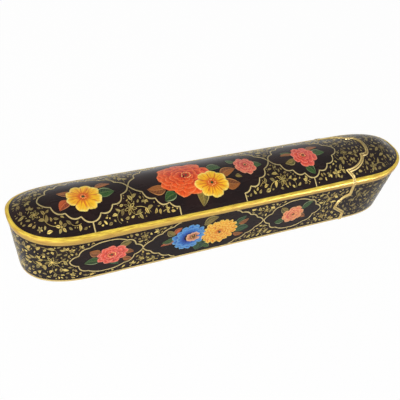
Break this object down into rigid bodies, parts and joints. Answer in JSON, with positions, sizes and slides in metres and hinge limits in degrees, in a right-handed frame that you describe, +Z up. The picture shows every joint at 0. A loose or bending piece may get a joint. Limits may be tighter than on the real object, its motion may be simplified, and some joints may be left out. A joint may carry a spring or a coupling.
{
  "type": "pen box",
  "caption": "Long crowned pen box of lacquered papier-mache with rounded ends: a sleeve, and a drawer with a scalloped gilt joint that holds an inkwell and reed pens.",
  "frame": {"origin": "middle of the base, on the surface that the box stands on", "axes": "+X along the box towards the drawer head, +Z up"},
  "size_m": [0.251, 0.0456, 0.0416],
  "materials": {
    "lacquer": "papier-mache, painted with flowers and gold under glossy lacquer",
    "gilding": "gold leaf on a raised gesso moulding",
    "tray_lacquer": "papier-mache with plain red-brown lacquer",
    "inkwell_brass": "worn polished brass",
    "reed": "dry polished reed",
    "bone": "polished bone"
  },
  "bodies": {
    "case": {"case_shell": "lacquer", "case_rim_moulding": "gilding", "mouth_edging": "gilding"},
    "drawer": {"drawer_tray": "tray_lacquer", "drawer_head": "lacquer", "head_rim_moulding": "gilding", "head_edging": "gilding", "pen_partition": "tray_lacquer", "well_partition": "tray_lacquer", "pen_rest_inner": "tray_lacquer", "pen_rest_outer": "tray_lacquer", "inkwell_pot": "inkwell_brass", "reed_pen_broad": "reed", "reed_pen_medium": "reed", "reed_pen_fine": "reed", "nib_block": "bone"},
    "lid": {"inkwell_lid": "inkwell_brass", "lid_knob": "inkwell_brass"}
  },
  "joints": [
    {"name": "drawer_slide", "type": "slide", "parent": "case", "child": "drawer", "axis": [1, 0, 0], "range_m": [0, 0.175]},
    {"name": "lid_lift", "type": "slide", "parent": "drawer", "child": "lid", "axis": [0, 0, 1], "range_m": [0, 0.006]}
  ]
}
